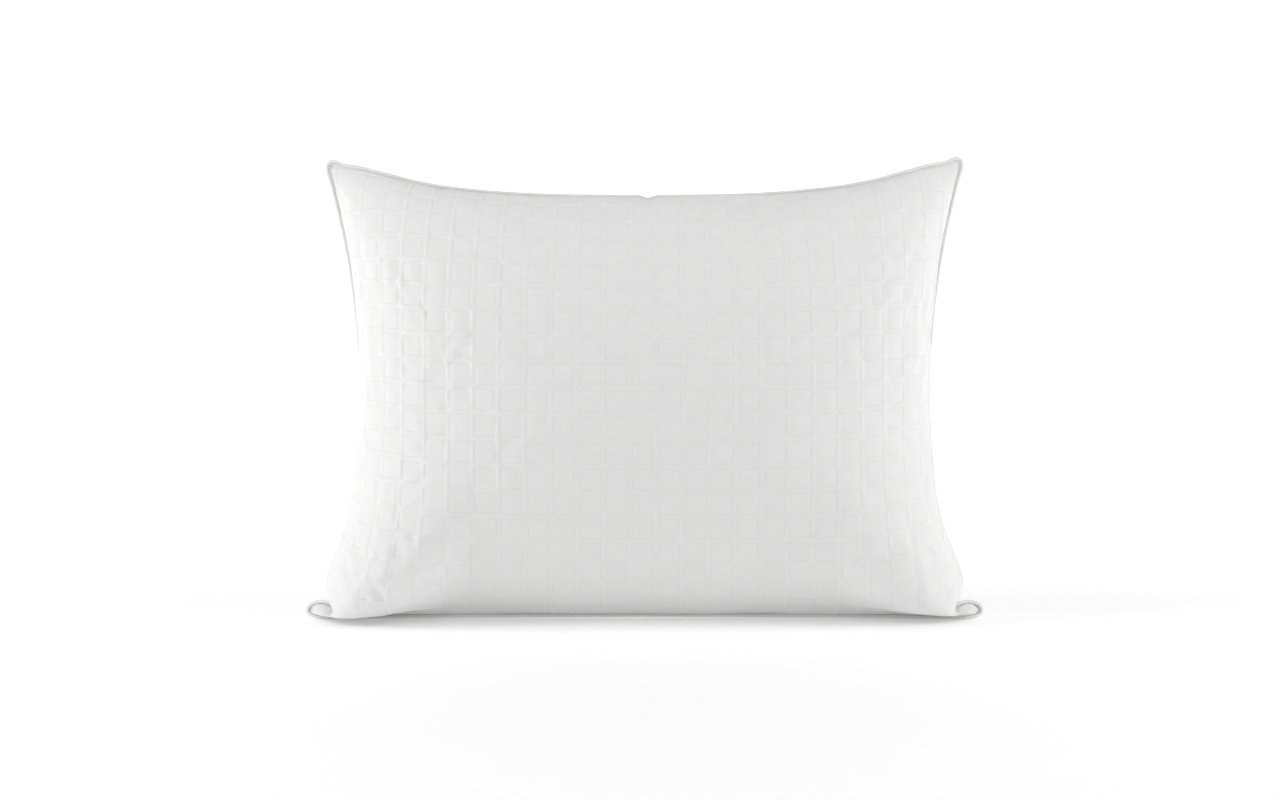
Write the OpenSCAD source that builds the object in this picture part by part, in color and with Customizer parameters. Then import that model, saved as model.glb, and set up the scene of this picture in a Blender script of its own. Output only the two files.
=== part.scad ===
// Bed pillow with a piped edge, standing on one long edge.
// Sizes in millimetres. +Z is up, the front panel faces -Y, and the seam lies in the XZ plane.
// The origin is on the floor, under the middle of the pillow.

/* [Cover] */
// Width between the top corners, seam to seam
cover_w = 652; // [540:1:790]
// Height of the top corners above the floor, at the seam
cover_h = 470; // [390:1:565]
// Thickness at the middle, front to back
cover_t = 200; // [150:1:245]
// Thickness of the woven cover cloth
cloth_t = 0.8; // [0.6:0.1:1.2]
// Cloth turned in beyond the seam line
allowance = 10; // [8:0.5:12]

/* [Seam outline] */
// How far the top seam dips between the corners
top_dip = 37; // [12:1:46]
// How far each side seam curves in at half height
side_dip = 36; // [12:1:46]
// How far each bottom corner reaches out past the top corner
ear_reach = 18; // [8:1:20]
// Radius of the four corners at the seam
corner_r = 15; // [12.5:0.5:20]

/* [Stuffed feet] */
// How far the stuffed bottom corners sag before the floor flattens them
foot_sag = 92; // [80:1:112]
// How far the flattened corners spread to the front and to the back
foot_spread = 30; // [15:1:45]

/* [Piping] */
// Diameter of the filler cord
cord_d = 3.2; // [2.6:0.1:4]
// Thickness of the bias strip wrapped round the cord
strip_t = 0.4; // [0.3:0.05:0.6]

/* [Sewing] */
// Diameter of the sewing thread
thread_d = 0.4; // [0.3:0.05:0.5]
// Length of each stitch of the hidden seam
stitch_l = 10; // [6:0.5:14]
// Spacing of the needle holes along the closing seam
closing_pitch = 8; // [6:0.5:12]
// Length of the closing seam in the top edge
closing_w = 150; // [100:5:220]

/* [Care label] */
// Width of the label along the seam
label_w = 40; // [25:1:60]
// How far the label hangs from the seam
label_l = 52; // [35:1:65]
// Thickness of the label tape
label_t = 0.3; // [0.2:0.05:0.5]

/* [Hidden] */

white_cloth = [0.94, 0.94, 0.93];
white_piping = [0.96, 0.96, 0.95];
cord_cotton = [0.90, 0.88, 0.82];
fibre_white = [0.97, 0.97, 0.98];
thread_white = [0.98, 0.98, 0.97];
label_satin = [0.92, 0.92, 0.94];

// Layers stacked at the seam, measured from the seam plane
gap = 0.1;
slit = 0.1;
flange_y = strip_t + slit;
cloth_y = flange_y + gap;
inside_y = cloth_y + cloth_t;
fill_clear = 2.2;
fill_press = 0.72;

// Piping section: the cord inside a strip whose two edges run in between the panels
bore_r = cord_d / 2 + 0.15;
piping_r = bore_r + strip_t;
piping_n = piping_r + 0.2;

// The bottom seam rides its own piping just clear of the floor
seam_lift = piping_n + piping_r + 0.2;
mid_h = cover_h / 2 - 6;

// Points round the seam: along the long edges, the short edges and the corners
long_n = 26;
short_n = 24;
corner_n = 5;
rings = 7;
crowd = 0.6;

function ease(x) = let (c = min(1, max(0, x))) c * c * (3 - 2 * c);
function unit(v) = v / norm(v);

// The flat cover is a square of u and v from -1 to 1 with rounded corners
round_u = corner_r / (cover_w / 2);
round_v = corner_r / (cover_h / 2);
function spread(q) = (1 - crowd) * q + crowd * sin(90 * q);
function edge_run(n) = [for (i = [1 : n - 1]) spread(2 * i / n - 1)];
function corner(su, sv, from) = [
    for (i = [0 : corner_n])
        let (a = from + 90 * i / corner_n)
        [su * (1 - round_u) + round_u * cos(a), sv * (1 - round_v) + round_v * sin(a)]];
rim = concat(
    [for (q = edge_run(short_n)) [1, q * (1 - round_v)]], corner(1, 1, 0),
    [for (q = edge_run(long_n)) [-q * (1 - round_u), 1]], corner(-1, 1, 90),
    [for (q = edge_run(short_n)) [-1, -q * (1 - round_v)]], corner(-1, -1, 180),
    [for (q = edge_run(long_n)) [q * (1 - round_u), -1]], corner(1, -1, 270));
rim_n = len(rim);

// Outline of the standing cover: the sides curve in, the top dips, the bottom corners splay out
function half_w(v) =
    cover_w / 2 - side_dip * (1 - pow(abs(v), v > 0 ? 1.75 : 2.2))
    + (v < 0 ? ear_reach * ease((abs(v) - 0.88) / 0.08) : 0);
function top_z(u) = cover_h - top_dip * (1 - pow(abs(u), 2.8));
function plane_x(u, v) = u * half_w(v);
function plane_z(u, v) = v > 0 ? mid_h + v * (top_z(u) - mid_h) : mid_h + v * (mid_h - seam_lift);

// Front of the cover. lift is 0 at the middle and 90 degrees at the seam, and press is how
// much of the sag of the feet to take: all of it for the cloth, less for the fibre inside.
function corner_ness(w) = pow(w[0] * w[1], 2);
function foot(u, v) = exp(-(pow((abs(u) - 0.84) / 0.17, 2) + pow((v + 0.85) / 0.15, 2)));
function bulge(w, lift) = pow(max(cos(lift), 0), 1 + 0.95 * corner_ness(w));
function skin_point(w, lift, press = 1) =
    let (u = w[0] * sin(lift), v = w[1] * sin(lift), sag = press * foot(u, v) * max(cos(lift), 0))
    [plane_x(u, v),
     -cloth_y - (cover_t / 2 - cloth_y) * bulge(w, lift) - foot_spread * sag,
     plane_z(u, v) - foot_sag * sag];
function rim_at(k) = rim[(k + rim_n) % rim_n];
function skin_normal(k, lift, press = 1) =
    let (w = rim[k],
         along = skin_point(rim_at(k + 1), lift, press) - skin_point(rim_at(k - 1), lift, press),
         inward = skin_point(w, lift - 0.5, press) - skin_point(w, lift + 0.5, press))
    unit(cross(along, inward));

// The seam line and the direction out of the cover at each point of it, both in the XZ plane
function seam_at(k) = let (w = rim_at(k)) [plane_x(w[0], w[1]), 0, plane_z(w[0], w[1])];
function seam_out(k) = let (t = seam_at(k + 1) - seam_at(k - 1)) unit([t[2], 0, -t[0]]);
function off_seam(k, out, y) = seam_at(k) + seam_out(k) * out + [0, y, 0];
function all_round(f) = [for (k = [0 : rim_n - 1]) f(k)];

// The turned-in cloth is clipped back towards the corners, where the two edges meet
function turn_in(k) = allowance * (1 - 0.62 * pow(abs(rim[k][0] * rim[k][1]), 12));

// A skin point pushed in by depth, kept above the floor by the same depth
function inner_point(k, lift, depth, press = 1) =
    let (p = skin_point(rim[k], lift, press) - skin_normal(k, lift, press) * depth)
    [p[0], p[1], max(p[2], depth)];
function skin_ring(r) = all_round(function (k) skin_point(rim[k], 90 * r / rings));
function inner_ring(r) = all_round(function (k) inner_point(k, 90 * r / rings, cloth_t));
function clipped_ring(y) = all_round(function (k) off_seam(k, -turn_in(k), y));

// A four-sided face as two triangles, because its corners seldom lie in one plane
function halves(q) = [[q[0], q[1], q[2]], [q[0], q[2], q[3]]];

// A closed skin through rings of points, from one end point to the other. From ring turn on, the
// faces are cut along their other diagonal, so that a way back matches the way out.
module loft(start, sections, turn, end) {
    n = len(sections[0]);
    last = 1 + (len(sections) - 1) * n;
    points = concat([start], [for (s = sections) each s], [end]);
    polyhedron(points, concat(
        [for (k = [0 : n - 1]) [0, 1 + (k + 1) % n, 1 + k]],
        [for (r = [0 : len(sections) - 2], k = [0 : n - 1])
            let (a = 1 + r * n + k, b = 1 + r * n + (k + 1) % n)
            each halves(r < turn ? [a, b, b + n, a + n] : [b, b + n, a + n, a])],
        [for (k = [0 : n - 1]) [last + n, last + k, last + (k + 1) % n]]));
}

// A closed loop swept through sections that all have the same number of points
module loop(sections) {
    m = len(sections);
    n = len(sections[0]);
    polyhedron([for (s = sections) each s],
        [for (r = [0 : m - 1], k = [0 : n - 1])
            let (a = r * n + k, b = r * n + (k + 1) % n, up = ((r + 1) % m - r) * n)
            each halves([a, a + up, b + up, b])]);
}

// A round bar between two points
module bar(from, to, d) {
    run = to - from;
    translate(from)
        rotate([0, acos(run[2] / norm(run)), atan2(run[1], run[0])])
            cylinder(d = d, h = norm(run), $fn = 16);
}

// One side of the cover: outer face, turned-in allowance, then the inner face
module panel() {
    fold = function (k) off_seam(k, -cloth_t * (1 + 4.5 * corner_ness(rim[k])), -inside_y);
    sections = concat(
        [for (r = [1 : rings]) skin_ring(r)],
        [clipped_ring(-cloth_y), clipped_ring(-inside_y), all_round(fold)],
        [for (r = [rings - 1 : -1 : 1]) inner_ring(r)]);
    middle = skin_point([0, 0], 0);
    difference() {
        loft(middle, sections, rings + 2, middle + [0, cloth_t, 0]);
        translate([-cover_w, -cover_w, -cover_h]) cube([2 * cover_w, 2 * cover_w, cover_h]);
    }
}

module front_panel() {
    color(white_cloth) panel();
}

module back_panel() {
    color(white_cloth) mirror([0, 1, 0]) panel();
}

// Bias strip: round the cord, then both edges in between the two panels
module piping_cover() {
    function arc(r, y, steps, way) =
        let (open = asin(y / r))
        [for (i = [0 : steps])
            let (a = way * (180 - open) * (2 * i / steps - 1))
            [piping_n + r * cos(a), r * sin(a)]];
    section = concat(
        [[-allowance, -flange_y]], arc(piping_r, flange_y, 8, 1), [[-allowance, flange_y]],
        [[-allowance, slit]], arc(bore_r, slit, 8, -1), [[-allowance, -slit]]);
    color(white_piping)
        loop([for (k = [0 : rim_n - 1])
            [for (p = section) off_seam(k, max(p[0], -turn_in(k)), p[1])]]);
}

module piping_cord() {
    r = cord_d / 2;
    color(cord_cotton)
        loop([for (k = [0 : rim_n - 1])
            [for (a = [0 : 45 : 315]) off_seam(k, piping_n + r * cos(a), r * sin(a))]]);
}

// Loose polyester fibre, which takes the shape of the inside of the cover
module fibre_fill() {
    depth = cloth_t + fill_clear;
    layers = 6;
    out = function (k)
        let (t = rim_at(k + 1) - rim_at(k - 1)) unit([t[1] * cover_h, 0, -t[0] * cover_w]);
    inset = function (k) (allowance + 3) * (1 + 1.2 * pow(corner_ness(rim[k]), 4));
    share = function (k) 1 - inset(k) / ((seam_at(k) - [0, 0, mid_h]) * out(k));
    half = [for (r = [1 : layers])
        all_round(function (k) inner_point(k, asin(share(k)) * r / layers, depth, fill_press))];
    groove = all_round(function (k)
        let (w = rim[k] * share(k)) [plane_x(w[0], w[1]), 0, plane_z(w[0], w[1])]);
    flip = function (p) [p[0], -p[1], p[2]];
    middle = skin_point([0, 0], 0) + [0, depth, 0];
    color(fibre_white)
        loft(middle,
             concat(half, [groove], [for (r = [layers - 1 : -1 : 0]) [for (p = half[r]) flip(p)]]),
             layers,
             flip(middle));
}

// One thread all round the seam, crossing the two panels and the strip at every stitch
module seam_thread() {
    depth = 3;
    r = thread_d / 2;
    reach = inside_y + r;
    marks = [for (k = [0 : rim_n - 1])
        let (a = off_seam(k, -depth, 0), b = off_seam((k + 1) % rim_n, -depth, 0),
             n = max(1, round(norm(b - a) / stitch_l)))
        each [for (i = [0 : n - 1]) [a + (b - a) * i / n, seam_out(k)]]];
    even = 2 * floor(len(marks) / 2);
    color(thread_white)
        loop([for (i = [0 : even - 1])
            let (p = marks[i][0] + [0, i % 2 == 0 ? -reach : reach, 0], out = marks[i][1] * r)
            [p + out, p + [0, r, 0], p - out, p - [0, r, 0]]]);
}

// Slanted stitches that close the filling gap, from the front panel's fold to the piping
module closing_stitches() {
    count = floor(closing_w / closing_pitch);
    color(thread_white)
        for (i = [0 : count - 1]) {
            x = (i - (count - 1) / 2) * closing_pitch;
            z = top_z(x / half_w(1));
            bar([x - 1, -inside_y - 0.6, z - 1.4], [x + 1, -flange_y + 0.1, z + 1.2], thread_d);
        }
}

// Blank woven label, caught in the side seam and lying on the back panel
module care_label() {
    side_v = -0.3;
    steps = 8;
    half_v = label_w / cover_h;
    per_degree = 1.2 * cover_t / 2 * PI / 180;
    clear = 0.5;
    function lying(c, b, off) =
        let (v = side_v + c * half_v,
             lift = 86 - b * label_l / per_degree,
             p = skin_point([1, v], lift),
             up = skin_point([1, v + 0.01], lift) - skin_point([1, v - 0.01], lift),
             inward = skin_point([1, v], lift - 0.5) - skin_point([1, v], lift + 0.5),
             q = p + unit(cross(up, inward)) * off)
        [q[0], -q[1], q[2]];
    sections = [for (i = [0 : steps])
        let (b = i / steps)
        concat([for (c = [-1 : 0.5 : 1]) lying(c, b, clear)],
               [for (c = [1 : -0.5 : -1]) lying(c, b, clear + label_t)])];
    n = len(sections[0]);
    far = steps * n;
    color(label_satin)
        polyhedron([for (s = sections) each s], concat(
            [for (k = [0 : n / 2 - 2]) each halves([k, k + 1, n - 2 - k, n - 1 - k])],
            [for (r = [0 : steps - 1], k = [0 : n - 1])
                let (a = r * n + k, b = r * n + (k + 1) % n)
                each halves([a, a + n, b + n, b])],
            [for (k = [0 : n / 2 - 2])
                each halves([far + n - 1 - k, far + n - 2 - k, far + k + 1, far + k])]));
}

front_panel();
back_panel();
piping_cover();
piping_cord();
fibre_fill();
seam_thread();
closing_stitches();
care_label();
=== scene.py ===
import math
import bpy
import numpy as np
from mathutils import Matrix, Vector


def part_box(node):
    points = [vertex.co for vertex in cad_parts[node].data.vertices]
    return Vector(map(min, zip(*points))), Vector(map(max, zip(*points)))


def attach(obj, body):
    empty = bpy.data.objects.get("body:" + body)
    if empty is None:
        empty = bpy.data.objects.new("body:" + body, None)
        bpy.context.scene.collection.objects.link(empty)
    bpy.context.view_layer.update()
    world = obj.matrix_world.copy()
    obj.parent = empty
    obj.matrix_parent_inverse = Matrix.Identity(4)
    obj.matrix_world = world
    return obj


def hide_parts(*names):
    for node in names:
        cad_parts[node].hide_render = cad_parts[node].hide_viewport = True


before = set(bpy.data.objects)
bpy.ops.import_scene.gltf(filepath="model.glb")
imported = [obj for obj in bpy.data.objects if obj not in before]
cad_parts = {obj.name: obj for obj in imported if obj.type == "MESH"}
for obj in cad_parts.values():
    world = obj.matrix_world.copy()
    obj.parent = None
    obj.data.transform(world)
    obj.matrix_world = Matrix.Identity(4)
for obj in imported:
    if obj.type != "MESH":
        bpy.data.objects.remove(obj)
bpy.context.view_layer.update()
print("frame loaded:", len(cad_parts), "nodes")

scene = bpy.context.scene
material = {}

# The pillow stands on one long edge. Metres, +Z up, front towards -Y.
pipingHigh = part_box("piping_cover")[1]

cover = {
    "cutWidth": 0.668,          # finished cloth, seam to seam
    "cutHeight": 0.512,
    "cornerRadius": 0.015,
    "cornerX": 0.3255,          # top corner of the piping, before it is rounded
    "topDip": 0.0365,           # the top seam sags between the corners
    "topPower": 2.8,
    "topInset": 0.0022,
    "levelRise": 0.0042,        # the top seam runs nearly level before it rises to the corner
    "levelX": 0.285,
    "levelReach": 0.045,
    "sideDip": 0.0345,          # the side seams curve in at half height
    "sidePower": {"up": 1.75, "down": 2.3},
    "slump": 0.0105,            # how far the lower corners bulge out
    "slumpZ": 0.043,
    "slumpReach": 0.045,
    "sideFrom": 0.036,          # height where the side seam leaves the folded corner
    "floorZ": 0.0012,           # lowest point of the middle of the cloth
    "clearZ": 0.0004,           # and of the finished panel
    "halfThick": 0.096,
    "boxy": 3.6,                # how square the middle is from side to side
    "turned": ((0.0010, 0.0009), (0.0030, 0.0007), (0.0062, 0.0007)),  # turned-in cloth: depth, off
    "seamRoom": 0.0022,         # least half thickness one cell in from the seam
    "rimOff": 0.0013,           # the panel's edge stands this far off the seam plane
    "edgeReach": 0.003,         # how far in a panel follows its edge onto the seam
}
cover["tall"] = pipingHigh[2]
cover["middleZ"] = cover["tall"] * 0.487

piping = {
    "radius": 0.0021,
    "sides": 14,
    "step": 0.0024,
    "lap": 0.0030,              # how far the join dips at the top middle
    "lapX": 0.0035,
    "lapReach": 0.0058,
    "fold": 0.80,               # the panels fold in at this share of the radius
    "wall": 0.0004,             # thickness of the strip
    "flange": 0.0058,           # the strip's two edges, between the panels
    "flangeOff": {"outer": 0.0005, "inner": 0.0001},
    "openAngle": {"outer": 0.22, "inner": 0.1},
    "innerSides": 10,
}

ribs = {
    "pitch": 0.0254,
    "width": 0.0046,
    "rise": 0.00017,
    "groove": 0.00020,
    "soft": 0.0001,             # roundness of a rib's edge
    "grooveOff": 0.0003,
    "grooveWide": 0.00028,
    "marks": (0.0017, 0.0021, 0.00245, 0.0028, 0.0034, 0.0085),   # mesh lines beside a rib's middle
    "closest": 0.0004,
    "fade": 0.004,              # the ribs flatten over this last stretch to the seam
    "acrossStart": 0.0106,      # places of the first rib from the middle of the cloth
    "upStart": 0.0169,
}


def catmullRom(points, perSpan):
    points = np.array(points, float)
    ahead = np.vstack([points[1:], points[-1:]])
    behind = np.vstack([points[:1], points[:-1]])
    after = np.vstack([points[2:], points[-1:], points[-1:]])
    t = np.linspace(0, 1, perSpan, endpoint=False)[None, :, None]
    p0, p1, p2, p3 = [a[:-1, None] for a in (behind, points, ahead, after)]
    run = 0.5 * (2 * p1 + (p2 - p0) * t + (2 * p0 - 5 * p1 + 4 * p2 - p3) * t ** 2
                 + (3 * p1 - p0 - 3 * p2 + p3) * t ** 3)
    return np.vstack([run.reshape(-1, 3), points[-1:]])


def lengthAlong(line):
    return np.concatenate([[0], np.cumsum(np.linalg.norm(np.diff(line, axis=0), axis=1))])


def resampled(line, count):
    return pointsAt(line, np.linspace(0, lengthAlong(line)[-1], count))


def pointsAt(line, places):
    run = lengthAlong(line)
    return np.stack([np.interp(places, run, line[:, k]) for k in range(line.shape[1])], -1)


def topZ(x):
    level = cover["levelRise"] * np.exp(-((np.abs(x) - cover["levelX"]) / cover["levelReach"]) ** 2)
    bow = 1 - np.abs(x / cover["cornerX"]) ** cover["topPower"]
    return cover["tall"] - cover["topInset"] - cover["topDip"] * bow + level


def sideX(z):
    up = z > cover["middleZ"]
    v = np.where(up, (z - cover["middleZ"]) / (cover["tall"] - cover["middleZ"]),
                 1 - z / cover["middleZ"])
    slump = cover["slump"] * np.exp(-((z - cover["slumpZ"]) / cover["slumpReach"]) ** 2)
    power = np.where(up, cover["sidePower"]["up"], cover["sidePower"]["down"])
    return cover["cornerX"] - cover["sideDip"] * (1 - np.abs(v) ** power) + slump


# The bottom corner folds over on the floor: out along the floor, round the tip and back into a
# crease before the side seam starts. Places from the tip: across, front to back, height.
tipPast = 0.0015
bottomZ = 0.0034
earFold = [(-0.145, -0.001, 0.0026), (-0.075, -0.003, 0.0023), (-0.036, -0.005, 0.0022),
           (-0.014, -0.007, 0.0026), (-0.0042, -0.007, 0.0058), (-0.0021, -0.007, 0.0110),
           (-0.0068, -0.007, 0.0160), (-0.0160, -0.0075, 0.0182), (-0.0250, -0.009, 0.0165),
           (-0.0315, -0.010, 0.0130), (-0.0335, -0.006, 0.0135), (-0.0290, -0.002, 0.0200),
           (-0.0240, 0.0, 0.0285)]
# The top corner, from its sharp point: across, height.
topCorner = [(-0.0075, -0.034), (-0.0012, -0.0115), (-0.0022, -0.0034), (-0.0088, -0.0014),
             (-0.0185, -0.0052)]
sideHeights = [0.040, 0.060, 0.085, 0.115, 0.150, 0.190, 0.229, 0.270, 0.310, 0.350, 0.390]
topPlaces = [0.288, 0.262, 0.230, 0.190, 0.140, 0.080, 0.0]


def halfRoute():
    tip = pipingHigh[0] + tipPast
    points = [(0.0, 0.0, bottomZ)]
    points += [(tip + x, y, z) for x, y, z in earFold]
    points += [(float(sideX(z)), 0.0, z) for z in sideHeights]
    points += [(cover["cornerX"] + x, 0.0, cover["tall"] + z) for x, z in topCorner]
    points += [(x, 0.0, float(topZ(x))) for x in topPlaces]
    return catmullRom(points, 24)


lean = {"lift": 0.0016, "wander": 0.0008, "waves": 7}


def seamRoute():
    right = halfRoute()
    left = right[::-1] * (-1, 1, 1)
    # the two sides of a real cover never match: this one leans up a little on the right
    for side, way in ((right, 1), (left, -1)):
        up = np.clip(side[:, 2] / cover["tall"], 0, 1)
        side[:, 2] += way * lean["lift"] * up * (np.abs(side[:, 0]) / cover["cornerX"]) ** 2
        side[:, 0] += way * lean["wander"] * np.sin(up * lean["waves"])
        dip = piping["lap"] * np.exp(-((side[:, 0] - piping["lapX"]) / piping["lapReach"]) ** 2)
        side[:, 2] -= dip * (side[:, 2] > cover["middleZ"])
    left[0] = right[-1]
    left[-1] = right[0]
    return right, left


smoothing = 0.0045


def insideWay(line, closedLength):
    # direction from the seam into the cover, in the plane of the seam, smoothed over a few mm
    count = len(line)
    ahead = np.roll(line, -1, axis=0) - np.roll(line, 1, axis=0)
    ahead[:, 1] = 0
    ahead /= np.linalg.norm(ahead, axis=1)[:, None]
    way = np.stack([-ahead[:, 2], np.zeros(count), ahead[:, 0]], -1)
    reach = max(1, int(smoothing / (closedLength / count)))
    soft = sum(np.roll(way, k, axis=0) * math.exp(-(2 * k / reach) ** 2)
               for k in range(-2 * reach, 2 * reach + 1))
    return soft / np.linalg.norm(soft, axis=1)[:, None]


rightRoute, leftRoute = seamRoute()
wholeRoute = np.vstack([rightRoute[:-1], leftRoute[:-1]])
wholeRoute = resampled(np.vstack([wholeRoute, wholeRoute[:1]]),
                       int(lengthAlong(wholeRoute)[-1] / piping["step"]) + 1)[:-1]
seamLength = lengthAlong(np.vstack([wholeRoute, wholeRoute[:1]]))[-1]
inward = insideWay(wholeRoute, seamLength)
foldRoute = wholeRoute + inward * piping["radius"] * piping["fold"]
foldLoop = np.vstack([foldRoute, foldRoute[:1]])
foldRun = lengthAlong(foldLoop)
lowHalf = foldRoute[:, 2] < 0.2
topPlace = foldRun[int(np.argmin(np.abs(foldRoute[:, 0]) + lowHalf * 9))]
print("seam route: %.3f m round" % seamLength)

acrossN, upN = 104, 80
acrossPlaces = np.linspace(-cover["cutWidth"] / 2, cover["cutWidth"] / 2, acrossN + 1)
upPlaces = np.linspace(-cover["cutHeight"] / 2, cover["cutHeight"] / 2, upN + 1)


def roundedSquare(a, b):
    # pulls the corner squares of the flat cloth in to round corners
    r = cover["cornerRadius"]
    halfW, halfH = cover["cutWidth"] / 2 - r, cover["cutHeight"] / 2 - r
    p, q = (np.abs(a) - halfW) / r, (np.abs(b) - halfH) / r
    inside = (p > 0) & (q > 0)
    pp, qq = np.where(inside, p, 1), np.where(inside, q, 1)
    big = np.maximum(pp, qq)
    k = (1 - big ** 2) + big ** 3 / np.hypot(pp, qq)
    p, q = np.where(inside, pp * k, p), np.where(inside, qq * k, q)
    return np.sign(a) * (halfW + p * r), np.sign(b) * (halfH + q * r)


def halfEdge(line, across, up, heights):
    # one half of the seam, from the bottom middle round one side to the top middle: even along
    # the bottom and the top, and up the side each row keeps the height it has inside
    run = lengthAlong(line)
    low = cover["sideFrom"]
    tip = int(np.argmax(np.abs(line[:, 0]) * (line[:, 2] < 0.1)))
    peak = int(np.argmax(np.abs(line[:, 0]) * 0.7 + line[:, 2]))
    start = tip + int(np.argmax(line[tip:, 2] > low))
    share = np.abs(across) / (cover["cutWidth"] / 2)
    lowUp = np.interp(low, heights, up)
    # a hair added at each step keeps the heights rising all the way
    climb = np.maximum.accumulate(line[start:peak + 1, 2]) + np.linspace(0, 1e-6, peak + 1 - start)
    goal = climb[0] + (heights - low) / (heights[-1] - low) * (climb[-1] - climb[0])
    side = np.where(up < lowUp, np.interp(up, [up[0], lowUp], [run[tip], run[start]]),
                    np.interp(goal, climb, run[start:peak + 1]))
    return [pointsAt(line, places) for places in
            (share * run[tip], run[peak] + (1 - share) * (run[-1] - run[peak]), side)]


def seamEdges(across, up, heights):
    top = int(np.argmin(np.abs(foldRun - topPlace)))
    rightLow, rightHigh, right = halfEdge(foldLoop[:top + 1], across, up, heights)
    leftLow, leftHigh, left = halfEdge(foldLoop[top:][::-1], across, up, heights)
    onRight = (across > 0)[:, None]
    bottom, top = np.where(onRight, rightLow, leftLow), np.where(onRight, rightHigh, leftHigh)
    return bottom, top, left, right


def movedToSeam(grid, edges, away, reach):
    # moves the edge of a grid onto the seam, and what is near the edge most of the way with it
    low, high, left, right = [edge - old for edge, old in
                              zip(edges, (grid[:, 0], grid[:, -1], grid[0], grid[-1]))]
    weights = [np.exp(-np.maximum(a, 0) / r)[..., None] for a, r in zip(away, reach)]
    wLow, wHigh, wLeft, wRight = weights
    grid = (grid + wLow * low[:, None] + wHigh * high[:, None]
            + wLeft * left[None] + wRight * right[None])
    grid -= wLeft * wLow * left[0] + wLeft * wHigh * left[-1] + wRight * wLow * right[0]
    grid -= wRight * wHigh * right[-1]
    grid[:, 0], grid[:, -1], grid[0], grid[-1] = edges
    return grid


# Low down the filling has slumped: the lower corners are full and flat underneath, and the left
# one has slumped further than the right one. Fractions across and up run from -1 to 1.
slumped = {
    "left": {"full": 4.0, "square": 11.0, "round": 0.15},
    "right": {"full": 2.0, "square": 6.0, "round": 0.10},
}
bulge = {
    "seamReach": (0.10, 0.10, 0.075, 0.075),    # bottom, top, left, right
    "leftFrom": 0.4,
    "leftOver": 0.8,
    "sinkFrom": -0.15,
    "sinkOver": 0.75,
    "cornerFrom": 0.55,
    "cornerOver": 0.33,
    "taper": 0.25,
}


def eased(x):
    x = np.clip(x, 0, 1)
    return x * x * (3 - 2 * x)


def evened(grid):
    # slides the points along the rows and columns until the threads are evenly spaced
    for axis in (0, 1):
        swapped = grid if axis == 0 else grid.transpose(1, 0, 2)
        lines = []
        for k in range(swapped.shape[1]):
            line = swapped[:, k]
            run = lengthAlong(line[:, :3])
            goal = np.linspace(0, run[-1], len(line))
            lines.append(np.stack([np.interp(goal, run, line[:, m]) for m in range(5)], -1))
        swapped = np.stack(lines, 1)
        grid = swapped if axis == 0 else swapped.transpose(1, 0, 2)
    return grid


def planeOf(u, v):
    mid = cover["middleZ"]
    z = np.where(v > 0, mid + v * (topZ(u * cover["cornerX"]) - mid), mid + v * (mid - cover["floorZ"]))
    return u * sideX(np.clip(z, 0, cover["tall"])), z


evenPasses = 10


def threadPlaces():
    # where each crossing of threads lies on an evenly filled cover, as fractions across and up
    u = np.sin(np.linspace(-1, 1, acrossN + 1) * math.pi / 2)[:, None] * np.ones((1, upN + 1))
    v = np.sin(np.linspace(-1, 1, upN + 1) * math.pi / 2)[None, :] * np.ones((acrossN + 1, 1))
    x, z = planeOf(u, v)
    y = cover["halfThick"] * ((1 - np.abs(u) ** cover["boxy"]) * (1 - v ** 2)) ** 0.5
    grid = np.stack([x, y, z, u, v], -1)
    for _ in range(evenPasses):
        grid = evened(grid)
    return grid[..., 3], grid[..., 4]


def startShape():
    # a stuffed shape close to the real one, so that the cloth has little to settle
    u, v = threadPlaces()
    x, z = planeOf(u, v)
    plain = np.stack([x, np.zeros_like(x), z], -1)
    edges = seamEdges(acrossPlaces, upPlaces, z[-1])
    plain = movedToSeam(plain, edges, (1 + v, 1 - v, 1 + u, 1 - u), bulge["seamReach"])
    toLeft = eased((bulge["leftFrom"] - u) / bulge["leftOver"])
    at = slumped["right"]
    full, square, rounder = [at[key] + (slumped["left"][key] - at[key]) * toLeft
                             for key in ("full", "square", "round")]
    sunk = eased((-v + bulge["sinkFrom"]) / bulge["sinkOver"])
    corner = eased((np.abs(u) - bulge["cornerFrom"]) / bulge["cornerOver"]) * (v < 0)
    taperTop = 0.5 + bulge["taper"] * np.clip(v, 0, 1) ** 2
    taperSide = np.where(v > 0, 0.5 + bulge["taper"] * u ** 2, 0.5 - rounder * corner)
    crown = cover["halfThick"] * (1 - np.abs(u) ** (cover["boxy"] + full * sunk)) ** taperTop
    crown = crown * (1 - np.abs(v) ** (2 + square * corner)) ** taperSide
    sides = []
    for way in (-1, 1):
        side = plain.copy()
        side[..., 1] += way * crown
        side[..., 2] = np.maximum(side[..., 2], cover["floorZ"])
        side[:, 0], side[:, -1], side[0], side[-1] = edges
        sides.append(side)
    return sides, z[-1]


stuffing = {
    "pressure": 0.6,
    "tension": 4.0,
    "shear": 1.0,
    "bending": 0.004,
    "weight": 1.25,             # kg per square metre, heavier than cotton so that it settles fast
    "quality": 6,
    "frames": 14,
    "gap": 0.001,
    "floorGap": 0.0005,
    "friction": 8,
}


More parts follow.
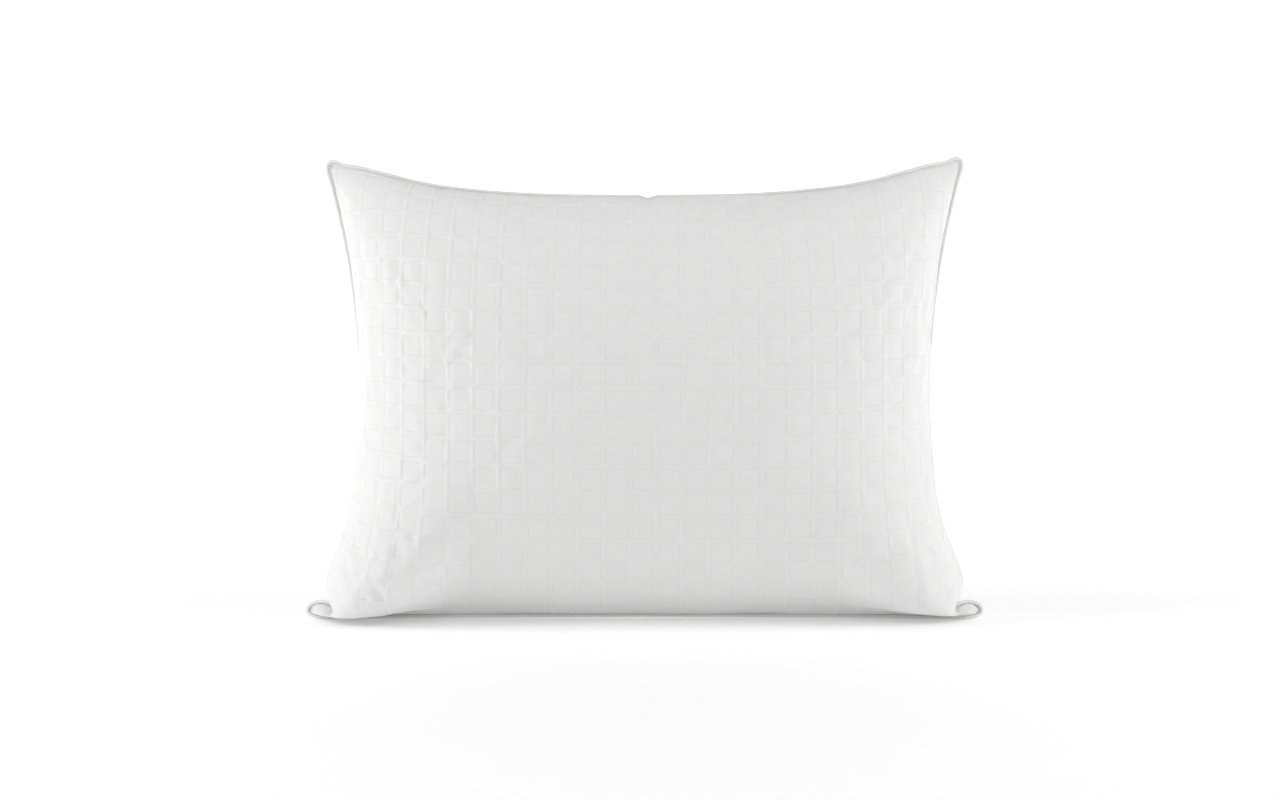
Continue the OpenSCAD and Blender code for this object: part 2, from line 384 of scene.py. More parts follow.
def sewnCover(sides):
    # front and back share the points of the seam
    number = np.full((2, acrossN + 1, upN + 1), -1, int)
    points = []
    for s, side in enumerate(sides):
        for i in range(acrossN + 1):
            for j in range(upN + 1):
                edge = i in (0, acrossN) or j in (0, upN)
                if s == 1 and edge:
                    number[1, i, j] = number[0, i, j]
                    continue
                number[s, i, j] = len(points)
                points.append(side[i, j])
    faces = []
    for s in (0, 1):
        a, b = number[s, :-1, :-1], number[s, 1:, :-1]
        c, d = number[s, 1:, 1:], number[s, :-1, 1:]
        quads = np.stack([a, b, c, d] if s == 0 else [d, c, b, a], -1).reshape(-1, 4)
        faces += quads.tolist()
    return number, np.array(points), faces


def stuffed(sides):
    number, points, faces = sewnCover(sides)
    mesh = bpy.data.meshes.new("coverSim")
    mesh.from_pydata(points.tolist(), [], faces)
    sheet = bpy.data.objects.new("coverSim", mesh)
    scene.collection.objects.link(sheet)
    seam = sheet.vertex_groups.new(name="seam")
    rim = np.ones((acrossN + 1, upN + 1), bool)
    rim[1:-1, 1:-1] = False
    seam.add([int(k) for k in number[0][rim]], 1.0, "REPLACE")
    cloth = sheet.modifiers.new("stuffing", "CLOTH")
    settings = cloth.settings
    settings.vertex_group_mass = "seam"
    settings.quality = stuffing["quality"]
    settings.mass = stuffing["weight"] * 2 * cover["cutWidth"] * cover["cutHeight"] / len(points)
    settings.tension_stiffness = stuffing["tension"]
    settings.compression_stiffness = stuffing["tension"]
    settings.shear_stiffness = stuffing["shear"]
    settings.bending_stiffness = stuffing["bending"]
    settings.use_pressure = True
    settings.uniform_pressure_force = stuffing["pressure"]
    settings.effector_weights.gravity = 0
    cloth.collision_settings.use_collision = True
    cloth.collision_settings.distance_min = stuffing["gap"]
    cloth.point_cache.frame_start = 1
    cloth.point_cache.frame_end = stuffing["frames"] + 2
    scene.frame_start = 1
    scene.frame_end = stuffing["frames"] + 2
    slab = bpy.data.meshes.new("slabSim")
    slab.from_pydata([(-2, -2, 0), (2, -2, 0), (2, 2, 0), (-2, 2, 0)], [], [(0, 1, 2, 3)])
    ground = bpy.data.objects.new("slabSim", slab)
    scene.collection.objects.link(ground)
    ground.modifiers.new("floor", "COLLISION")
    ground.collision.thickness_outer = stuffing["floorGap"]
    ground.collision.cloth_friction = stuffing["friction"]
    for step in range(1, stuffing["frames"] + 1):
        scene.frame_set(step)
    done = sheet.evaluated_get(bpy.context.evaluated_depsgraph_get())
    settled = done.to_mesh()
    place = np.empty(len(points) * 3, np.float32)
    settled.vertices.foreach_get("co", place)
    done.to_mesh_clear()
    place = place.reshape(-1, 3).astype(float)
    for extra in (sheet, ground):
        data = extra.data
        bpy.data.objects.remove(extra)
        bpy.data.meshes.remove(data)
    scene.frame_set(1)
    return [place[number[0]], place[number[1]]]


def printSides(stage, sides):
    print("%s: thickness %.3f m" % (stage, sides[1][..., 1].max() - sides[0][..., 1].min()))
    for name, side in zip(("front", "back"), sides):
        column = lengthAlong(side[acrossN // 2])[-1]
        row = lengthAlong(side[:, upN // 2])[-1]
        print("  %s: thread lengths up %.3f, across %.3f" % (name, column, row))


sides, rowHeights = startShape()
printSides("start shape", sides)
sides = stuffed(sides)
printSides("stuffed", sides)
# the two layers stay clear of the cloth turned in between them
thin = cover["seamRoom"] - (sides[1][1:-1, 1:-1, 1] - sides[0][1:-1, 1:-1, 1]) / 2
sides[0][1:-1, 1:-1, 1] -= np.maximum(thin, 0)
sides[1][1:-1, 1:-1, 1] += np.maximum(thin, 0)


def meshPiece(name, points, faces, finish, smooth=True, uv=None):
    mesh = bpy.data.meshes.new(name)
    mesh.from_pydata(np.asarray(points, float).tolist(), [], np.asarray(faces).tolist()
                     if isinstance(faces, np.ndarray) else faces)
    if smooth:
        mesh.polygons.foreach_set("use_smooth", [True] * len(mesh.polygons))
    if uv is not None:
        layer = mesh.uv_layers.new(name="cloth")
        corners = np.empty(len(mesh.loops), np.int32)
        mesh.loops.foreach_get("vertex_index", corners)
        layer.data.foreach_set("uv", np.asarray(uv, np.float32)[corners].ravel())
    mesh.materials.append(finish)
    mesh.update()
    piece = bpy.data.objects.new(name, mesh)
    scene.collection.objects.link(piece)
    return piece


def gridFaces(rows, columns, flip=False, closeRows=False, closeColumns=False, start=0):
    i = np.arange(rows if closeRows else rows - 1)[:, None]
    j = np.arange(columns if closeColumns else columns - 1)[None, :]
    a = i * columns + j
    b = ((i + 1) % rows) * columns + j
    c = ((i + 1) % rows) * columns + (j + 1) % columns
    d = i * columns + (j + 1) % columns
    quads = np.stack([d, c, b, a] if flip else [a, b, c, d], -1).reshape(-1, 4)
    return quads + start


def gridRim(rows, columns):
    # the places round the edge of a grid, in order
    rim = [(i, 0) for i in range(rows)] + [(rows - 1, j) for j in range(1, columns)]
    rim += [(i, columns - 1) for i in range(rows - 2, -1, -1)]
    return rim + [(0, j) for j in range(columns - 2, 0, -1)]


def closedFaces(rows, columns):
    # two grids of the same size, one behind the other, joined round their edges
    other = rows * columns
    faces = gridFaces(rows, columns).tolist() + gridFaces(rows, columns, flip=True, start=other).tolist()
    rim = [i * columns + j for i, j in gridRim(rows, columns)]
    return faces + [(b, a, a + other, b + other) for a, b in zip(rim, rim[1:] + rim[:1])]


def cubicWeights(places, wanted):
    # a matrix that takes samples at even places to a smooth curve through them
    step = places[1] - places[0]
    at = (np.asarray(wanted) - places[0]) / step
    cell = np.clip(np.floor(at).astype(int), 0, len(places) - 2)
    t = at - cell
    parts = [(-t + 2 * t ** 2 - t ** 3) / 2, (2 - 5 * t ** 2 + 3 * t ** 3) / 2,
             (t + 4 * t ** 2 - 3 * t ** 3) / 2, (-t ** 2 + t ** 3) / 2]
    weights = np.zeros((len(wanted), len(places)))
    for k, part in enumerate(parts):
        np.add.at(weights, (np.arange(len(wanted)), np.clip(cell + k - 1, 0, len(places) - 1)), part)
    return weights


def gridNormals(grid, outY):
    alongU = np.gradient(grid, axis=0)
    alongV = np.gradient(grid, axis=1)
    normal = np.cross(alongU, alongV)
    normal /= np.linalg.norm(normal, axis=-1)[..., None] + 1e-12
    return normal if outY < 0 else -normal


def ribPlaces(size, start):
    # lines close together over each rib and its two grooves, far apart between them
    pitch = ribs["pitch"]
    places = [-size / 2, size / 2]
    for k in range(-20, 21):
        centre = start + k * pitch
        places += [centre, centre + pitch / 2]
        places += [centre + way * mark for mark in ribs["marks"] for way in (1, -1)]
    places = sorted(p for p in places if abs(p) <= size / 2)
    kept = [places[0]]
    for p in places[1:]:
        if p - kept[-1] > ribs["closest"]:
            kept.append(p)
    kept[-1] = size / 2
    return np.array(kept)


def ribHeight(places, start):
    away = np.abs((places - start + ribs["pitch"] / 2) % ribs["pitch"] - ribs["pitch"] / 2)
    past = away - ribs["width"] / 2
    raised = 1 / (1 + np.exp(np.clip(past / ribs["soft"], -30, 30)))
    groove = np.exp(-((past - ribs["grooveOff"]) / ribs["grooveWide"]) ** 2)
    return raised, groove


def ribbedPanel(name, side, outY):
    across = ribPlaces(cover["cutWidth"], ribs["acrossStart"])
    up = ribPlaces(cover["cutHeight"], ribs["upStart"])
    fine = np.einsum("ai,ijk->ajk", cubicWeights(acrossPlaces, across), side)
    fine = np.einsum("bj,ajk->abk", cubicWeights(upPlaces, up), fine)
    fineA, fineB = roundedSquare(*np.meshgrid(across, up, indexing="ij"))
    edges = seamEdges(across, up, np.interp(up, upPlaces, rowHeights))
    away = (up + cover["cutHeight"] / 2, cover["cutHeight"] / 2 - up,
            across + cover["cutWidth"] / 2, cover["cutWidth"] / 2 - across)
    away = [a[None, :] if k < 2 else a[:, None] for k, a in enumerate(away)]
    fine = movedToSeam(fine, edges, away, (cover["edgeReach"],) * 4)
    normal = gridNormals(fine, outY)
    riseA, grooveA = ribHeight(fineA, ribs["acrossStart"])
    riseB, grooveB = ribHeight(fineB, ribs["upStart"])
    height = ribs["rise"] * np.maximum(riseA, riseB)
    height -= ribs["groove"] * np.maximum(grooveA * (1 - riseB), grooveB * (1 - riseA))
    edge = np.minimum(cover["cutWidth"] / 2 - np.abs(fineA), cover["cutHeight"] / 2 - np.abs(fineB))
    height *= np.clip(edge / ribs["fade"], 0, 1)
    fine = fine + normal * height[..., None]
    fine[..., 2] = np.maximum(fine[..., 2], cover["clearZ"])
    rows, columns = fine.shape[:2]
    rim = gridRim(rows, columns)
    rimI, rimJ = np.array(rim).T
    edgeLine = fine[rimI, rimJ]
    fine[rimI, rimJ, 1] += outY * cover["rimOff"]
    # the cloth turns in beside the piping and runs back between the layers
    way = insideWay(edgeLine, lengthAlong(edgeLine)[-1])
    points = [fine.reshape(-1, 3)]
    uv = [np.stack([fineA, fineB], -1).reshape(-1, 2)]
    faces = [gridFaces(rows, columns, flip=outY > 0)]
    last = rimI * columns + rimJ
    count = rows * columns
    for depth, off in cover["turned"]:
        ring = edgeLine + way * depth
        ring[:, 1] = edgeLine[:, 1] + outY * off
        points.append(ring)
        uv.append(np.stack([fineA[rimI, rimJ], fineB[rimI, rimJ]], -1))
        number = count + np.arange(len(rim))
        quads = np.stack([np.roll(last, -1), last, number, np.roll(number, -1)], -1)
        faces.append(quads if outY < 0 else quads[:, ::-1])
        last = number
        count += len(rim)
    return meshPiece(name, np.vstack(points), np.vstack(faces), material["coverCotton"],
                     uv=np.vstack(uv))


def takes(tree, sockets):
    # the named inputs of a node group: name, kind, first value
    for name, kind, value in sockets:
        socket = tree.interface.new_socket(name=name, in_out="INPUT", socket_type=kind)
        if value is not None:
            socket.default_value = value


def clothGroup():
    # plain weave as a bump, from coordinates in metres; shared by every cotton
    tree = bpy.data.node_groups.new("plainWeave", "ShaderNodeTree")
    takes(tree, (("Place", "NodeSocketVector", None), ("Threads", "NodeSocketFloat", 2600.0),
                 ("Depth", "NodeSocketFloat", 0.3), ("Mottle", "NodeSocketFloat", 0.02),
                 ("Tint", "NodeSocketColor", (0.8, 0.8, 0.8, 1))))
    tree.interface.new_socket(name="Colour", in_out="OUTPUT", socket_type="NodeSocketColor")
    tree.interface.new_socket(name="Normal", in_out="OUTPUT", socket_type="NodeSocketVector")
    nodes, link = tree.nodes, tree.links.new
    given, out = nodes.new("NodeGroupInput"), nodes.new("NodeGroupOutput")
    scaled = nodes.new("ShaderNodeVectorMath")
    scaled.operation = "SCALE"
    link(given.outputs["Place"], scaled.inputs[0])
    link(given.outputs["Threads"], scaled.inputs["Scale"])
    split = nodes.new("ShaderNodeSeparateXYZ")
    link(scaled.outputs[0], split.inputs[0])
    over = nodes.new("ShaderNodeMath")
    over.operation = "MULTIPLY"
    for k, axis in enumerate(("X", "Y")):
        wave = nodes.new("ShaderNodeMath")
        wave.operation = "SINE"
        link(split.outputs[axis], wave.inputs[0])
        link(wave.outputs[0], over.inputs[k])
    slubs = nodes.new("ShaderNodeTexNoise")
    slubs.inputs["Scale"].default_value = 420
    slubs.inputs["Detail"].default_value = 3
    link(given.outputs["Place"], slubs.inputs["Vector"])
    height = nodes.new("ShaderNodeMath")
    height.operation = "MULTIPLY_ADD"
    height.inputs[1].default_value = 0.35
    link(over.outputs[0], height.inputs[0])
    link(slubs.outputs[0], height.inputs[2])
    bump = nodes.new("ShaderNodeBump")
    bump.inputs["Distance"].default_value = 0.00015
    link(given.outputs["Depth"], bump.inputs["Strength"])
    link(height.outputs[0], bump.inputs["Height"])
    link(bump.outputs[0], out.inputs["Normal"])
    clouds = nodes.new("ShaderNodeTexNoise")
    clouds.inputs["Scale"].default_value = 38
    clouds.inputs["Detail"].default_value = 4
    link(given.outputs["Place"], clouds.inputs["Vector"])
    shift = nodes.new("ShaderNodeMath")
    shift.operation = "MULTIPLY_ADD"
    shift.inputs[2].default_value = 1
    centred = nodes.new("ShaderNodeMath")
    centred.operation = "SUBTRACT"
    centred.inputs[1].default_value = 0.5
    link(clouds.outputs[0], centred.inputs[0])
    link(centred.outputs[0], shift.inputs[0])
    link(given.outputs["Mottle"], shift.inputs[1])
    tinted = nodes.new("ShaderNodeVectorMath")
    tinted.operation = "SCALE"
    link(given.outputs["Tint"], tinted.inputs[0])
    link(shift.outputs[0], tinted.inputs["Scale"])
    link(tinted.outputs[0], out.inputs["Colour"])
    return tree


def clothFinish(name, tint, threads, depth, sheen, rough, useMap=True, turn=0.0, mottle=0.03,
                ribbed=False):
    made = bpy.data.materials.new(name)
    made.use_nodes = True
    nodes, link = made.node_tree.nodes, made.node_tree.links.new
    shader = nodes["Principled BSDF"]
    shader.inputs["Roughness"].default_value = rough
    shader.inputs["Sheen Weight"].default_value = sheen
    shader.inputs["Sheen Roughness"].default_value = 0.45
    shader.inputs["Specular IOR Level"].default_value = 0.25
    place = nodes.new("ShaderNodeUVMap" if useMap else "ShaderNodeTexCoord")
    if useMap:
        place.uv_map = "cloth"
    spin = nodes.new("ShaderNodeMapping")
    spin.inputs["Rotation"].default_value = (0, 0, turn)
    link(place.outputs["UV" if useMap else "Object"], spin.inputs["Vector"])
    weave = nodes.new("ShaderNodeGroup")
    weave.node_tree = weaveGroup
    weave.inputs["Threads"].default_value = threads
    weave.inputs["Depth"].default_value = depth
    weave.inputs["Mottle"].default_value = mottle
    weave.inputs["Tint"].default_value = (*tint, 1)
    link(spin.outputs[0], weave.inputs["Place"])
    # painted shade: the base colour is darkened along the grooves beside each rib
    if ribbed:
        lines = nodes.new("ShaderNodeGroup")
        lines.node_tree = grooveShade
        link(place.outputs["UV"], lines.inputs["Place"])
        link(weave.outputs["Colour"], lines.inputs["Colour"])
        link(lines.outputs["Colour"], shader.inputs["Base Color"])
    else:
        link(weave.outputs["Colour"], shader.inputs["Base Color"])
    link(weave.outputs["Normal"], shader.inputs["Normal"])
    return made


def grooveShadeGroup():
    # painted shade: the colour is darkened along the two fine grooves beside each woven rib, where shade
    # falls in the grooves
    tree = bpy.data.node_groups.new("ribGrooveShade", "ShaderNodeTree")
    takes(tree, (("Place", "NodeSocketVector", None), ("Pitch", "NodeSocketFloat", ribs["pitch"]),
                 ("Start across", "NodeSocketFloat", ribs["acrossStart"]),
                 ("Start up", "NodeSocketFloat", ribs["upStart"]),
                 ("Half width", "NodeSocketFloat", ribs["width"] / 2 + 0.00025),
                 ("Line", "NodeSocketFloat", 0.0005), ("Dark", "NodeSocketFloat", 0.06),
                 ("Colour", "NodeSocketColor", (0.8, 0.8, 0.8, 1))))
    tree.interface.new_socket(name="Colour", in_out="OUTPUT", socket_type="NodeSocketColor")
    nodes, link = tree.nodes, tree.links.new
    given, out = nodes.new("NodeGroupInput"), nodes.new("NodeGroupOutput")

    def calc(operation, first, second):
        node = nodes.new("ShaderNodeMath")
        node.operation = operation
        for k, value in enumerate((first, second)):
            if isinstance(value, (int, float)):
                node.inputs[k].default_value = value
            elif value is not None:
                link(value, node.inputs[k])
        return node.outputs[0]

    split = nodes.new("ShaderNodeSeparateXYZ")
    link(given.outputs["Place"], split.inputs[0])
    lines, bands = [], []
    for axis, start in (("X", "Start across"), ("Y", "Start up")):
        half = calc("MULTIPLY", given.outputs["Pitch"], 0.5)
        moved = calc("ADD", calc("SUBTRACT", split.outputs[axis], given.outputs[start]), half)
        turn = calc("FLOORED_MODULO", moved, given.outputs["Pitch"])
        away = calc("ABSOLUTE", calc("SUBTRACT", turn, half), None)
        past = calc("SUBTRACT", away, given.outputs["Half width"])
        near = calc("DIVIDE", calc("ABSOLUTE", past, None), given.outputs["Line"])
        lines.append(calc("MAXIMUM", calc("SUBTRACT", 1.0, near), 0.0))
        bands.append(calc("LESS_THAN", past, 0.0))
    # a rib that crosses covers the groove
    crossed = [calc("MULTIPLY", lines[k], calc("SUBTRACT", 1.0, bands[1 - k])) for k in (0, 1)]
    amount = calc("MULTIPLY", calc("MAXIMUM", crossed[0], crossed[1]), given.outputs["Dark"])
    dimmed = nodes.new("ShaderNodeVectorMath")
    dimmed.operation = "SCALE"
    link(given.outputs["Colour"], dimmed.inputs[0])
    link(calc("SUBTRACT", 1.0, amount), dimmed.inputs["Scale"])
    link(dimmed.outputs[0], out.inputs["Colour"])
    return tree


weaveGroup = clothGroup()
grooveShade = grooveShadeGroup()
# the cover's colour carries painted shade along the rib grooves
material["coverCotton"] = clothFinish("coverCotton", (0.80, 0.80, 0.797), 9000, 0.35, 0.15, 0.85,
                                      ribbed=True)
material["pipingCotton"] = clothFinish("pipingCotton", (0.80, 0.80, 0.795), 7000, 0.4, 0.15, 0.8,
                                       turn=0.785)
material["cordCotton"] = clothFinish("cordCotton", (0.72, 0.69, 0.60), 3000, 0.6, 0.2, 0.9)
material["fibre"] = clothFinish("fibre", (0.85, 0.85, 0.86), 900, 0.9, 0.5, 0.95, useMap=False)
material["thread"] = clothFinish("thread", (0.80, 0.80, 0.79), 12000, 0.4, 0.1, 0.6, useMap=False)
material["labelSatin"] = clothFinish("labelSatin", (0.82, 0.82, 0.83), 12000, 0.25, 0.3, 0.35,
                                     mottle=0.01)
print("finishes made:", len(material))

panels = {
    "frontPanel": ribbedPanel("frontPanel", sides[0], -1),
    "backPanel": ribbedPanel("backPanel", sides[1], 1),
}
for name, piece in panels.items():
    print("%s: %d faces" % (name, len(piece.data.polygons)))


def sweptSeam(name, section, finish, line):
    # section points are (outwards, back to front) from the middle of the piping
    rings, count = len(line), len(section)
    outward = -insideWay(line, seamLength)
    points = np.empty((rings, count, 3))
    for k, (out, side) in enumerate(section):
        points[:, k] = line + outward * out + np.array([0, side, 0])
    run = lengthAlong(line)
    around = lengthAlong(np.array(section))
    uv = np.stack(np.broadcast_arrays(run[:, None], around[None, :]), -1).reshape(-1, 2)
    faces = gridFaces(rings, count, closeRows=True, closeColumns=True)
    return meshPiece(name, points.reshape(-1, 3), faces, finish, uv=uv)


def pipingSection():
    def arc(radius, first, count):
        angles = np.linspace(first, -first, count + 1)
        return [(radius * math.cos(a), radius * math.sin(a)) for a in angles]

    ends, off, wide = piping["openAngle"], piping["flangeOff"], -piping["flange"]
    outer = arc(piping["radius"], -math.pi + ends["outer"], piping["sides"])
    inner = arc(piping["radius"] - piping["wall"], math.pi - ends["inner"], piping["innerSides"])
    outside = [(wide, -off["outer"])] + outer + [(wide, off["outer"])]
    return outside + [(wide, off["inner"])] + inner + [(wide, -off["inner"])]


pipingCover = sweptSeam("pipingCover", pipingSection(), material["pipingCotton"], wholeRoute)
print("piping cover: %d faces" % len(pipingCover.data.polygons))

cord = {"radius": 0.00145, "strands": 3, "twist": 0.014, "lobe": 0.14, "sides": 12}


def twistedCord():
    run = lengthAlong(wholeRoute)
    turns = round(seamLength / cord["twist"])
    angle = np.linspace(0, 2 * math.pi, cord["sides"], endpoint=False)
    outward = -insideWay(wholeRoute, seamLength)
    swing = run / seamLength * turns * 2 * math.pi
    wave = np.abs(np.cos(cord["strands"] / 2 * (angle[None] - swing[:, None])))
    lobes = cord["radius"] * (1 - cord["lobe"] + cord["lobe"] * wave)
    points = (wholeRoute[:, None] + outward[:, None] * (lobes * np.cos(angle))[..., None]
              + np.array([0, 1, 0]) * (lobes * np.sin(angle))[..., None])
    uv = np.stack(np.broadcast_arrays(run[:, None], angle[None] * cord["radius"]), -1).reshape(-1, 2)
    faces = gridFaces(len(run), len(angle), closeRows=True, closeColumns=True)
    return meshPiece("pipingCord", points.reshape(-1, 3), faces, material["cordCotton"], uv=uv)


pipingCord = twistedCord()

fibre = {"inset": 3, "clear": 0.0042, "low": 0.004}


def fibreBody():
    # the fibre fills the cover, a few millimetres in from the cloth
    n = fibre["inset"]
    grids = []
    for side, outY in zip(sides, (-1, 1)):
        inside = side - gridNormals(side, outY) * fibre["clear"]
        inside[..., 2] = np.maximum(inside[..., 2], fibre["low"])
        grids.append(inside[n:-n, n:-n])
    rows, columns = grids[0].shape[:2]
    points = np.vstack([g.reshape(-1, 3) for g in grids])
    return meshPiece("fibreFill", points, closedFaces(rows, columns), material["fibre"])


fibreFill = fibreBody()
print("fibre fill: %d faces" % len(fibreFill.data.polygons))


def stitchTree():
    # short threads set end to end along a line
    tree = bpy.data.node_groups.new("stitchRow", "GeometryNodeTree")
    takes(tree, (("Geometry", "NodeSocketGeometry", None), ("Pitch", "NodeSocketFloat", 0.003),
                 ("Length", "NodeSocketFloat", 0.0022), ("Thread", "NodeSocketFloat", 0.0003),
                 ("Slant", "NodeSocketFloat", 0.0), ("Finish", "NodeSocketMaterial", None)))
    tree.interface.new_socket(name="Geometry", in_out="OUTPUT", socket_type="NodeSocketGeometry")
    nodes, link = tree.nodes, tree.links.new
    given, out = nodes.new("NodeGroupInput"), nodes.new("NodeGroupOutput")
    curve = nodes.new("GeometryNodeMeshToCurve")
    link(given.outputs["Geometry"], curve.inputs[0])
    spaced = nodes.new("GeometryNodeCurveToPoints")
    spaced.mode = "LENGTH"
    link(curve.outputs[0], spaced.inputs["Curve"])
    link(given.outputs["Pitch"], spaced.inputs["Length"])
    ball = nodes.new("GeometryNodeMeshUVSphere")
    ball.inputs["Segments"].default_value = 6
    ball.inputs["Rings"].default_value = 5
    ball.inputs["Radius"].default_value = 0.5
    size = nodes.new("ShaderNodeCombineXYZ")
    link(given.outputs["Length"], size.inputs["X"])
    link(given.outputs["Thread"], size.inputs["Y"])
    link(given.outputs["Thread"], size.inputs["Z"])
    aimed = nodes.new("FunctionNodeAlignRotationToVector")
    aimed.axis = "X"
    link(spaced.outputs["Tangent"], aimed.inputs["Vector"])
    lean = nodes.new("FunctionNodeEulerToRotation")
    slant = nodes.new("ShaderNodeCombineXYZ")
    link(given.outputs["Slant"], slant.inputs["Y"])
    link(slant.outputs[0], lean.inputs[0])
    turned = nodes.new("FunctionNodeRotateRotation")
    turned.rotation_space = "GLOBAL"
    link(aimed.outputs[0], turned.inputs[0])
    link(lean.outputs[0], turned.inputs[1])
    placed = nodes.new("GeometryNodeInstanceOnPoints")
    link(spaced.outputs["Points"], placed.inputs["Points"])
    link(ball.outputs["Mesh"], placed.inputs["Instance"])
    link(turned.outputs[0], placed.inputs["Rotation"])
    link(size.outputs[0], placed.inputs["Scale"])
    real = nodes.new("GeometryNodeRealizeInstances")
    link(placed.outputs[0], real.inputs[0])
    painted = nodes.new("GeometryNodeSetMaterial")
    link(real.outputs[0], painted.inputs["Geometry"])
    link(given.outputs["Finish"], painted.inputs["Material"])
    link(painted.outputs[0], out.inputs[0])
    return tree


stitchRow = stitchTree()


def stitched(name, lines, sizes):
    points = np.vstack(lines)
    edges, start = [], 0
    for line in lines:
        edges += [(start + k, start + k + 1) for k in range(len(line) - 1)]
        start += len(line)
    guide = bpy.data.meshes.new(name + "Guide")
    guide.from_pydata(points.tolist(), edges, [])
    holder = bpy.data.objects.new(name + "Guide", guide)
    scene.collection.objects.link(holder)
    made = holder.modifiers.new("stitches", "NODES")
    made.node_group = stitchRow
    named = {item.name: item.identifier for item in stitchRow.interface.items_tree
             if item.in_out == "INPUT"}
    for key, value in sizes.items():
        made[named[key]] = value
    made[named["Finish"]] = material["thread"]
    done = holder.evaluated_get(bpy.context.evaluated_depsgraph_get())
    mesh = bpy.data.meshes.new_from_object(done)
    mesh.name = name
    mesh.polygons.foreach_set("use_smooth", [True] * len(mesh.polygons))
    bpy.data.objects.remove(holder)
    bpy.data.meshes.remove(guide)
    piece = bpy.data.objects.new(name, mesh)
    scene.collection.objects.link(piece)
    return piece


seamSewing = {"Pitch": 0.0031, "Length": 0.0021, "Thread": 0.00042, "Slant": 0.0}
seamPlace = {"in": 0.98, "off": 0.00145}
outward = -insideWay(wholeRoute, seamLength)
ditch = [wholeRoute - outward * (piping["radius"] * seamPlace["in"])
         + np.array([0, way * seamPlace["off"], 0]) for way in (-1, 1)]
seamStitches = stitched("seamStitches", ditch, seamSewing)

closing = {"Pitch": 0.008, "Length": 0.0042, "Thread": 0.00045, "Slant": 0.6}
closingPlace = {"halfReach": 0.072, "in": 0.8, "off": -0.0019}
onTop = (wholeRoute[:, 2] > cover["middleZ"]) & (np.abs(wholeRoute[:, 0]) < closingPlace["halfReach"])
closingLine = wholeRoute - outward * (piping["radius"] * closingPlace["in"])
closingLine = (closingLine + np.array([0, closingPlace["off"], 0]))[onTop]
closingStitches = stitched("closingStitches", [closingLine], closing)
print("stitches: %d and %d faces" % (len(seamStitches.data.polygons),
                                     len(closingStitches.data.polygons)))

label = {
    "long": 0.052,
    "wide": 0.040,
    "up": -0.066,               # middle of the label on the flat cloth
    "tucked": 0.001,
    "off": 0.0009,
    "thick": 0.0003,
    "lift": 0.0035,             # the free end curls up this far
    "ripple": 0.0006,
}


def careLabelPiece():
    # a blank satin label caught in the side seam, lying on the back panel
    along = np.linspace(0, 1, 17)
    over = np.linspace(-0.5, 0.5, 13)
    a = cover["cutWidth"] / 2 - label["tucked"] - along * label["long"]
    b = label["up"] + over * label["wide"]
    base = np.einsum("ai,ijk->ajk", cubicWeights(acrossPlaces, a), sides[1])
    base = np.einsum("bj,ajk->abk", cubicWeights(upPlaces, b), base)
    normal = gridNormals(base[::-1], 1)[::-1]
    curl = label["lift"] * along[:, None] ** 3 * (0.7 + 0.6 * over[None, :])
    curl = curl + label["ripple"] * np.sin(over[None, :] * 9) * along[:, None]
    under = base + normal * (label["off"] + curl)[..., None]
    upper = under + normal * label["thick"]
    rows, columns = under.shape[:2]
    points = np.vstack([upper.reshape(-1, 3), under.reshape(-1, 3)])
    flat = np.broadcast_arrays(along[:, None] * label["long"], over[None] * label["wide"])
    uv = np.tile(np.stack(flat, -1).reshape(-1, 2), (2, 1))
    return meshPiece("careLabel", points, closedFaces(rows, columns), material["labelSatin"], uv=uv)


careLabel = careLabelPiece()

standFor = {
    panels["frontPanel"]: ("front_panel", "cover_cotton"),
    panels["backPanel"]: ("back_panel", "cover_cotton"),
    pipingCover: ("piping_cover", "piping_cotton"),
    pipingCord: ("piping_cord", "cord_cotton"),
    fibreFill: ("fibre_fill", "fibre"),
    seamStitches: ("seam_thread", "thread"),
    closingStitches: ("closing_stitches", "thread"),
    careLabel: ("care_label", "label_satin"),
}
for piece, (node, slotName) in standFor.items():
    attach(piece, "root")
    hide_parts(node)


stage = {
    "pale": (0.9, 0.9, 0.9, 1),
    "floorHalf": 14.0,
    "nearY": -1,
    "farY": 9,
    "wallHalf": 16,
    "wallTop": 9,
    # glow of the floor by its place between the near and the far line
    "glow": ((0.08, 0.16), (0.115, 0.18), (0.16, 0.4), (0.21, 0.68), (0.27, 0.84), (0.4, 0.93)),
}


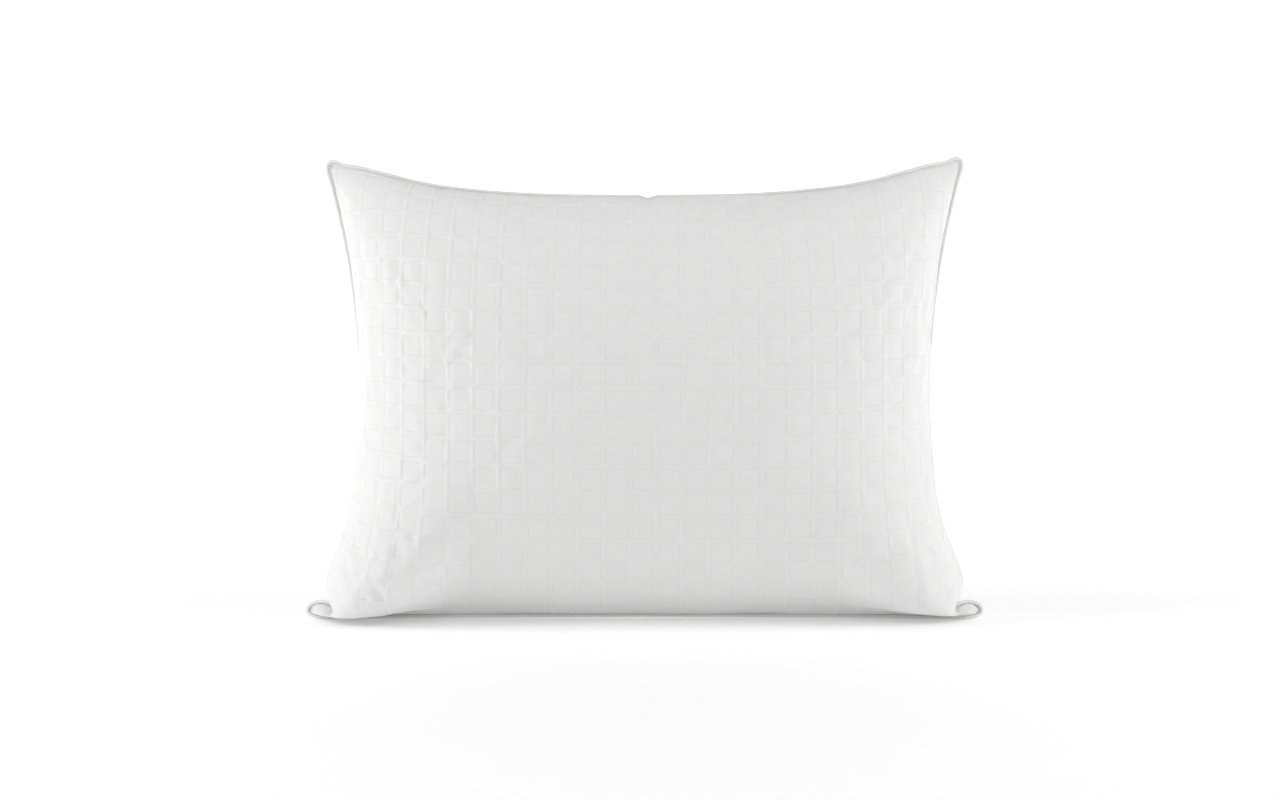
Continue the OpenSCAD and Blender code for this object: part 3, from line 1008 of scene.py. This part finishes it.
def stageFloor():
    paint = bpy.data.materials.new("paleFloor")
    paint.use_nodes = True
    shader = paint.node_tree.nodes["Principled BSDF"]
    shader.inputs["Base Color"].default_value = stage["pale"]
    shader.inputs["Roughness"].default_value = 0.9
    shader.inputs["Specular IOR Level"].default_value = 0.1
    # the floor glows a little, more towards the back, as a lit white sweep does
    nodes, link = paint.node_tree.nodes, paint.node_tree.links.new
    place = nodes.new("ShaderNodeTexCoord")
    split = nodes.new("ShaderNodeSeparateXYZ")
    link(place.outputs["Object"], split.inputs[0])
    ramp = nodes.new("ShaderNodeValToRGB")
    spread = nodes.new("ShaderNodeMapRange")
    spread.inputs["From Min"].default_value = stage["nearY"]
    spread.inputs["From Max"].default_value = stage["farY"]
    link(split.outputs["Y"], spread.inputs["Value"])
    link(spread.outputs["Result"], ramp.inputs[0])
    for k, (at, glow) in enumerate(stage["glow"]):
        stop = ramp.color_ramp.elements[k] if k < 2 else ramp.color_ramp.elements.new(at)
        stop.position = at
        stop.color = (glow, glow, glow, 1)
    link(ramp.outputs["Color"], shader.inputs["Emission Color"])
    shader.inputs["Emission Strength"].default_value = 1.0
    h = stage["floorHalf"]
    floor = meshPiece("floor", [(-h, -h, 0), (h, -h, 0), (h, h, 0), (-h, h, 0)], [(0, 1, 2, 3)], paint,
                      smooth=False)


stageFloor()


def stageBackdrop():
    paint = bpy.data.materials.new("paleBackdrop")
    paint.use_nodes = True
    shader = paint.node_tree.nodes["Principled BSDF"]
    shader.inputs["Base Color"].default_value = stage["pale"]
    shader.inputs["Emission Color"].default_value = (1, 1, 1, 1)
    shader.inputs["Emission Strength"].default_value = 1.0
    w, y, low, high = stage["wallHalf"], stage["farY"], -0.01, stage["wallTop"]
    wall = meshPiece("backdrop", [(-w, y, low), (w, y, low), (w, y, high), (-w, y, high)], [(0, 1, 2, 3)],
                     paint, smooth=False)


stageBackdrop()

lamps = {
    "left": {"at": (-1.7, -0.45, 0.8), "size": 1.0, "power": 18.4},
    "right": {"at": (1.7, -0.45, 0.8), "size": 1.0, "power": 16.6},
    "top": {"at": (0.0, -0.3, 2.0), "size": 1.4, "power": 9.0},
    "front": {"at": (0.0, -2.4, 1.3), "size": 1.6, "power": 12.0},
}
aimAt = np.array([0, 0, 0.22])
for name, lamp in lamps.items():
    light = bpy.data.lights.new(name, "AREA")
    light.shape = "SQUARE"
    light.size = lamp["size"]
    light.energy = lamp["power"]
    holder = bpy.data.objects.new(name, light)
    holder.location = lamp["at"]
    aim = aimAt - np.array(lamp["at"])
    holder.rotation_euler = (math.acos(-aim[2] / np.linalg.norm(aim)), 0,
                             math.atan2(-aim[0], aim[1]))
    scene.collection.objects.link(holder)
world = bpy.data.worlds.new("softBox")
world.use_nodes = True
world.node_tree.nodes["Background"].inputs["Color"].default_value = (1, 1, 1, 1)
world.node_tree.nodes["Background"].inputs["Strength"].default_value = 0.12
scene.world = world
scene.view_settings.view_transform = "Standard"

view = {"at": (-0.0048, -1.4, 0.2235), "lens": 38.45}
lens = bpy.data.cameras.new("camera")
lens.lens = view["lens"]
lens.sensor_width = 36
lens.dof.use_dof = False
camera = bpy.data.objects.new("camera", lens)
camera.location = view["at"]
camera.rotation_euler = (math.pi / 2, 0, 0)
scene.collection.objects.link(camera)
scene.camera = camera
